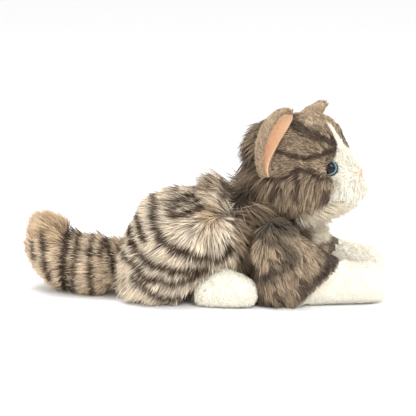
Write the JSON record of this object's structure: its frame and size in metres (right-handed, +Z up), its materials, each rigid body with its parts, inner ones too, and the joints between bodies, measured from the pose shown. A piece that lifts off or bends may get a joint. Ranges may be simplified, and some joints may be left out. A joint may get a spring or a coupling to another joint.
{
  "type": "plush cat",
  "caption": "Soft stuffed cat lying on its belly with striped long pile, white paws and face, upright lined ears, bead-like eyes and a thick tail.",
  "frame": {"origin": "middle of the resting face, on the ground under the body, between the two thighs", "axes": "+X from the tail to the front paws, +Y to the cat's left side, +Z up"},
  "size_m": [0.2965, 0.133, 0.1561],
  "materials": {
    "tabby_pile": "long cream-grey pile fabric with dark brown stripes",
    "shoulder_pile": "long brown pile fabric with lighter tips",
    "head_pile": "brown pile fabric, short on the crown and long on the cheeks, with dark stripes",
    "tail_pile": "long pile fabric with dark rings",
    "white_pile": "short off-white pile fabric",
    "ear_pile": "short grey-brown pile fabric",
    "ear_velour": "peach velour with a very short nap",
    "nose_thread": "pink embroidery thread, satin stitch",
    "mouth_thread": "brown embroidery thread",
    "eye_plastic": "glossy black with a thin pale blue rim",
    "washer_plastic": "natural moulded plastic",
    "filling": "loose white polyester fibre",
    "pellets": "cotton bag of plastic pellets"
  },
  "bodies": {
    "torso": {"torso_stuffing": "filling", "thigh_stuffing_left": "filling", "thigh_stuffing_right": "filling", "pellet_bag": "pellets", "back_panel_left": "tabby_pile", "back_panel_right": "tabby_pile", "thigh_cover_left": "tabby_pile", "thigh_cover_right": "tabby_pile", "belly_panel": "tabby_pile", "shoulder_panel_left": "shoulder_pile", "shoulder_panel_right": "shoulder_pile", "chest_bib": "white_pile"},
    "neck": {"neck_stuffing": "filling"},
    "head": {"head_stuffing": "filling", "head_side_left": "head_pile", "head_side_right": "head_pile", "crown_panel": "head_pile", "blaze_panel": "white_pile", "throat_panel": "white_pile", "muzzle_panel": "white_pile", "eye_left": "eye_plastic", "eye_right": "eye_plastic", "eye_washer_left": "washer_plastic", "eye_washer_right": "washer_plastic", "nose_stitching": "nose_thread", "mouth_stitching": "mouth_thread"},
    "ear_left": {"ear_back_left": "ear_pile", "ear_lining_left": "ear_velour"},
    "front_leg_left": {"sleeve_left": "shoulder_pile", "front_paw_left": "white_pile", "leg_stuffing_left": "filling"},
    "foot_left": {"hind_foot_left": "white_pile", "foot_stuffing_left": "filling"},
    "ear_right": {"ear_back_right": "ear_pile", "ear_lining_right": "ear_velour"},
    "front_leg_right": {"sleeve_right": "shoulder_pile", "front_paw_right": "white_pile", "leg_stuffing_right": "filling"},
    "foot_right": {"hind_foot_right": "white_pile", "foot_stuffing_right": "filling"},
    "tail": {"tail_base_cover": "tail_pile", "tail_base_stuffing": "filling"},
    "tail_tip": {"tail_tip_cover": "tail_pile", "tail_tip_stuffing": "filling"}
  },
  "joints": [
    {"name": "head_turn", "type": "hinge", "parent": "torso", "child": "neck", "pos_m": [0.062, 0, 0.08], "axis": [0, 0, 1], "range_deg": [-15, 35], "stiffness_Nm_per_rad": 0.3},
    {"name": "head_nod", "type": "hinge", "parent": "neck", "child": "head", "pos_m": [0.062, 0, 0.08], "axis": [0.342, 0.9397, 0], "range_deg": [-12, 10], "stiffness_Nm_per_rad": 0.6},
    {"name": "ear_left_fold", "type": "hinge", "parent": "head", "child": "ear_left", "pos_m": [0.08093, 0.01256, 0.15011], "axis": [-0.0272, 0.5307, -0.8471], "range_deg": [-15, 15], "stiffness_Nm_per_rad": 0.02},
    {"name": "ear_right_fold", "type": "hinge", "parent": "head", "child": "ear_right", "pos_m": [0.06842, -0.02179, 0.15011], "axis": [0.362, 0.3891, 0.8471], "range_deg": [-15, 15], "stiffness_Nm_per_rad": 0.02},
    {"name": "front_leg_left_lift", "type": "hinge", "parent": "torso", "child": "front_leg_left", "pos_m": [0.055, 0.0465, 0.04], "axis": [0, -1, 0], "range_deg": [0, 20]},
    {"name": "front_leg_right_lift", "type": "hinge", "parent": "torso", "child": "front_leg_right", "pos_m": [0.05, -0.0465, 0.04], "axis": [0, -1, 0], "range_deg": [0, 20]},
    {"name": "foot_left_splay", "type": "hinge", "parent": "torso", "child": "foot_left", "pos_m": [-0.005, 0.05, 0.012], "axis": [0, 0, 1], "range_deg": [0, 15], "stiffness_Nm_per_rad": 0.04},
    {"name": "foot_right_splay", "type": "hinge", "parent": "torso", "child": "foot_right", "pos_m": [-0.005, -0.05, 0.012], "axis": [0, 0, -1], "range_deg": [0, 15], "stiffness_Nm_per_rad": 0.04},
    {"name": "tail_swing", "type": "hinge", "parent": "torso", "child": "tail", "pos_m": [-0.0755, 0, 0.026], "axis": [0, 0, 1], "range_deg": [-20, 20], "stiffness_Nm_per_rad": 0.06},
    {"name": "tail_tip_bend", "type": "hinge", "parent": "tail", "child": "tail_tip", "pos_m": [-0.112, 0.008, 0.024], "axis": [0, 0, 1], "range_deg": [-15, 15], "stiffness_Nm_per_rad": 0.03}
  ]
}
